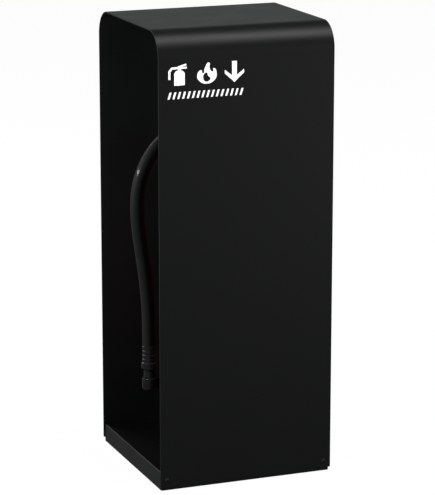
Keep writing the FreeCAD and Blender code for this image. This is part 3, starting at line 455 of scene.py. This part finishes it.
def hatch_sign(finish):
    """Row of slanted bars under the three signs."""
    bars = []
    for index in range(HATCH_BARS):
        left = index * HATCH_LENGTH / HATCH_BARS
        bars.append([
            (left, 0), (left + BAR_WIDTH, 0), (left + BAR_LEAN + BAR_WIDTH, HATCH_HEIGHT),
            (left + BAR_LEAN, HATCH_HEIGHT)])
    shape = flat_shape("sign_hatch", [(bar, False) for bar in bars])
    put_sign(shape, finish, left=-0.1170, foot=0.5580)


def signs():
    """White printed signs on the upper left of the front."""
    finish = coated(
        "white_print", (0.80, 0.80, 0.79), (0.74, 0.74, 0.73),
        roughness=(0.45, 0.55), grain_scale=1400.0, depth=0.00003)
    flame_sign(finish)
    bottle_sign(finish)
    arrow_sign(finish)
    hatch_sign(finish)


# ---------------------------------------------------------------- gauge print

DIAL_FACE = -0.0271
DIAL_HEIGHT = 0.4965
FIELD_RADII = (0.0078, 0.0108)
MARK_RADII = (0.0112, 0.0126)
SCALE_END = 75  # turns on the dial are clockwise from the top, in degrees
RED_START = 31
GREEN_END = 29
MARK_PITCH = 15
MARK_HALF = 1.2
BAND_STEP = 4
CLOUD_SHADE = 0.85


def dial_point(radius, turn):
    """Point on the dial at a radius and a turn."""
    return (radius * math.sin(math.radians(turn)), radius * math.cos(math.radians(turn)))


def dial_band(radii, start, end):
    """Outline of a ring's piece on the dial."""
    inner, outer = radii
    steps = max(2, round(abs(end - start) / BAND_STEP))
    turns = [start + (end - start) * index / steps for index in range(steps + 1)]
    rim = [dial_point(outer, turn) for turn in turns]
    return rim + [dial_point(inner, turn) for turn in reversed(turns)]


def dial_print(name, bands, colour):
    """One colour of the dial's print."""
    finish = coated(
        name + "_ink", colour, tuple(CLOUD_SHADE * part for part in colour),
        roughness=(0.40, 0.50), grain_scale=1500.0, depth=0.00001)
    shape = flat_shape(name, [(band, False) for band in bands])
    put_print(shape, finish, 0.0, DIAL_FACE, DIAL_HEIGHT)


def gauge_print():
    """Green field between two red ones, with plain marks round them."""
    reds = [
        dial_band(FIELD_RADII, -SCALE_END, -RED_START),
        dial_band(FIELD_RADII, RED_START, SCALE_END)]
    dial_print("dial_red", reds, (0.62, 0.02, 0.015))
    dial_print("dial_green", [dial_band(FIELD_RADII, -GREEN_END, GREEN_END)], (0.02, 0.36, 0.06))
    marks = [dial_band(MARK_RADII, turn - MARK_HALF, turn + MARK_HALF)
             for turn in range(-SCALE_END, SCALE_END + MARK_PITCH, MARK_PITCH)]
    dial_print("dial_marks", marks, (0.02, 0.02, 0.02))


# ---------------------------------------------------------------- studio

FLOOR_SIZE = 16.0
FLOOR_GREY = (0.08, 0.08, 0.08, 1.0)
FLOOR_WHITE = 0.96
GLOW_DISTANCES = (0.3, 2.8)
GLOW_STRENGTHS = (0.14, 0.29)
SKY_RISE = (0.22, 0.55)  # upright part of the direction that light comes from
SKY_STRENGTHS = (0.345, 0.09)
STUDIO_TINT = (0.94, 1.0, 0.97, 1.0)
INSIDE_TINT = (0.82, 0.90, 1.0)
BOX_MIDDLE = Vector((0, 0, 0.35))


def for_camera(tree, others, camera):
    """Socket of a shader that shows one node to the camera and another to all other rays."""
    seen = tree.nodes.new("ShaderNodeLightPath")
    choose = tree.nodes.new("ShaderNodeMixShader")
    tree.links.new(seen.outputs["Is Camera Ray"], choose.inputs["Fac"])
    tree.links.new(others.outputs[0], choose.inputs[1])
    tree.links.new(camera.outputs[0], choose.inputs[2])
    return choose.outputs[0]


def floor_material():
    """Almost white to the camera; a low glow, stronger far out, to everything else."""
    made = bpy.data.materials.new("pale_floor")
    made.use_nodes = True
    tree = made.node_tree
    tree.nodes.clear()
    place = tree.nodes.new("ShaderNodeTexCoord")
    distance = tree.nodes.new("ShaderNodeVectorMath")
    distance.operation = "LENGTH"
    tree.links.new(place.outputs["Object"], distance.inputs[0])
    glow = tree.nodes.new("ShaderNodeEmission")
    glow.inputs["Color"].default_value = STUDIO_TINT
    # Painted light: the floor glows for all rays but the camera's, dimmer near the box as a painted
    # shadow.
    strength = mapped(tree, distance.outputs["Value"], GLOW_DISTANCES, GLOW_STRENGTHS)
    tree.links.new(strength, glow.inputs["Strength"])
    white = tree.nodes.new("ShaderNodeEmission")
    white.inputs["Strength"].default_value = FLOOR_WHITE
    grey = tree.nodes.new("ShaderNodeBsdfDiffuse")
    grey.inputs["Color"].default_value = FLOOR_GREY
    both = tree.nodes.new("ShaderNodeAddShader")
    tree.links.new(grey.outputs[0], both.inputs[0])
    tree.links.new(for_camera(tree, glow, white), both.inputs[1])
    leave = tree.nodes.new("ShaderNodeOutputMaterial")
    tree.links.new(both.outputs[0], leave.inputs["Surface"])
    return made


def studio_floor():
    """Pale floor with a faint shadow under the box."""
    bpy.ops.mesh.primitive_plane_add(size=FLOOR_SIZE, location=(0, 0, 0))
    floor = bpy.context.active_object
    floor.name = "floor"
    floor.data.materials.append(floor_material())


def studio_air():
    """Grey light from all round, weaker from above; white behind the object."""
    world = bpy.data.worlds.new("studio")
    bpy.context.scene.world = world
    world.use_nodes = True
    tree = world.node_tree
    tree.nodes.clear()
    way = tree.nodes.new("ShaderNodeTexCoord")
    axes = tree.nodes.new("ShaderNodeSeparateXYZ")
    tree.links.new(way.outputs["Generated"], axes.inputs["Vector"])
    sky = tree.nodes.new("ShaderNodeBackground")
    sky.inputs["Color"].default_value = STUDIO_TINT
    strength = mapped(tree, axes.outputs["Z"], SKY_RISE, SKY_STRENGTHS)
    tree.links.new(strength, sky.inputs["Strength"])
    white = tree.nodes.new("ShaderNodeBackground")
    white.inputs["Color"].default_value = (1.0, 1.0, 1.0, 1.0)
    leave = tree.nodes.new("ShaderNodeOutputWorld")
    tree.links.new(for_camera(tree, sky, white), leave.inputs["Surface"])


def area_lamp(name, place, aim, width, height, power):
    """Rectangular lamp at a place, turned towards a point."""
    data = bpy.data.lights.new(name, "AREA")
    data.shape = "RECTANGLE"
    data.size = width
    data.size_y = height
    data.energy = power
    lamp = bpy.data.objects.new(name, data)
    lamp.location = place
    lamp.rotation_euler = (Vector(place) - Vector(aim)).to_track_quat("Z", "Y").to_euler()
    lamp.visible_camera = False
    bpy.context.scene.collection.objects.link(lamp)
    return lamp


def soft_box(name, azimuth, elevation, distance, width, height, power):
    """Lamp aimed at the box; azimuth from the front towards the right, in degrees."""
    turn = math.radians(azimuth)
    rise = math.radians(elevation)
    way = Vector((
        math.sin(turn) * math.cos(rise), -math.cos(turn) * math.cos(rise), math.sin(rise)))
    return area_lamp(name, BOX_MIDDLE + way * distance, BOX_MIDDLE, width, height, power)


def link_light(lamp, things, leave_out=False):
    """Limits a light to some things, or leaves them out of it."""
    linked = bpy.data.collections.new(lamp.name + "_things")
    for thing in things:
        linked.objects.link(thing)
    if leave_out:
        for entry in linked.collection_objects:
            entry.light_linking.link_state = "EXCLUDE"
    lamp.light_linking.receiver_collection = linked


def room_lights(hidden_from_left):
    """Lamps for the bend, the front, the back and the left; the last leaves some things out."""
    soft_box(
        "top_right", azimuth=48.0, elevation=66.0, distance=3.4, width=0.9, height=3.0, power=50.0)
    soft_box(
        "front_right", azimuth=38.0, elevation=2.0, distance=1.5, width=0.7, height=1.2, power=1.2)
    soft_box(
        "rear_left", azimuth=-150.0, elevation=35.0, distance=3.2, width=1.6, height=1.6,
        power=20.0)
    front_left = soft_box(
        "front_left", azimuth=-60.0, elevation=30.0, distance=2.6, width=0.6, height=0.6,
        power=24.0)
    link_light(front_left, hidden_from_left, leave_out=True)


def piece_lights(tube, fittings):
    """Lamps for the signs, the hose, its fittings and the inside of the folded sheet."""
    prints = [thing for thing in bpy.context.scene.objects if thing.name.startswith("sign_")]
    link_light(soft_box(
        "sign_light", azimuth=-53.0, elevation=22.0, distance=2.6, width=1.2, height=1.2,
        power=120.0), prints)
    link_light(soft_box(
        "hose_light", azimuth=-98.0, elevation=17.0, distance=2.4, width=1.3, height=0.10,
        power=34.0), [tube])
    link_light(soft_box(
        "fitting_light", azimuth=-68.0, elevation=42.0, distance=2.6, width=0.18, height=0.26,
        power=85.0), fittings)
    inside = area_lamp(
        "inside_light", place=(-0.32, -0.06, 0.45), aim=(-0.08, 0.125, 0.42), width=0.12,
        height=0.5, power=0.9)
    inside.data.color = INSIDE_TINT
    link_light(inside, [nodes["body_panel"]])


# ---------------------------------------------------------------- the whole


def main():
    """Camera, hose, finishes, prints and studio."""
    for thing in bpy.context.selected_objects:
        thing.select_set(False)
    set_camera()
    tube = hose_tube()
    finishes = all_materials()
    dress_nodes(finishes)
    tube.data.materials.append(finishes["hose_rubber"])
    signs()
    gauge_print()
    studio_floor()
    studio_air()
    fittings = [nodes[name] for name in ("nozzle_crimp", "nozzle_union", "nozzle", "nozzle_holder")]
    room_lights([tube, nodes["bottle"]] + fittings)
    piece_lights(tube, fittings)
    bpy.context.scene.view_settings.view_transform = "Standard"


main()
bpy.context.view_layer.update()
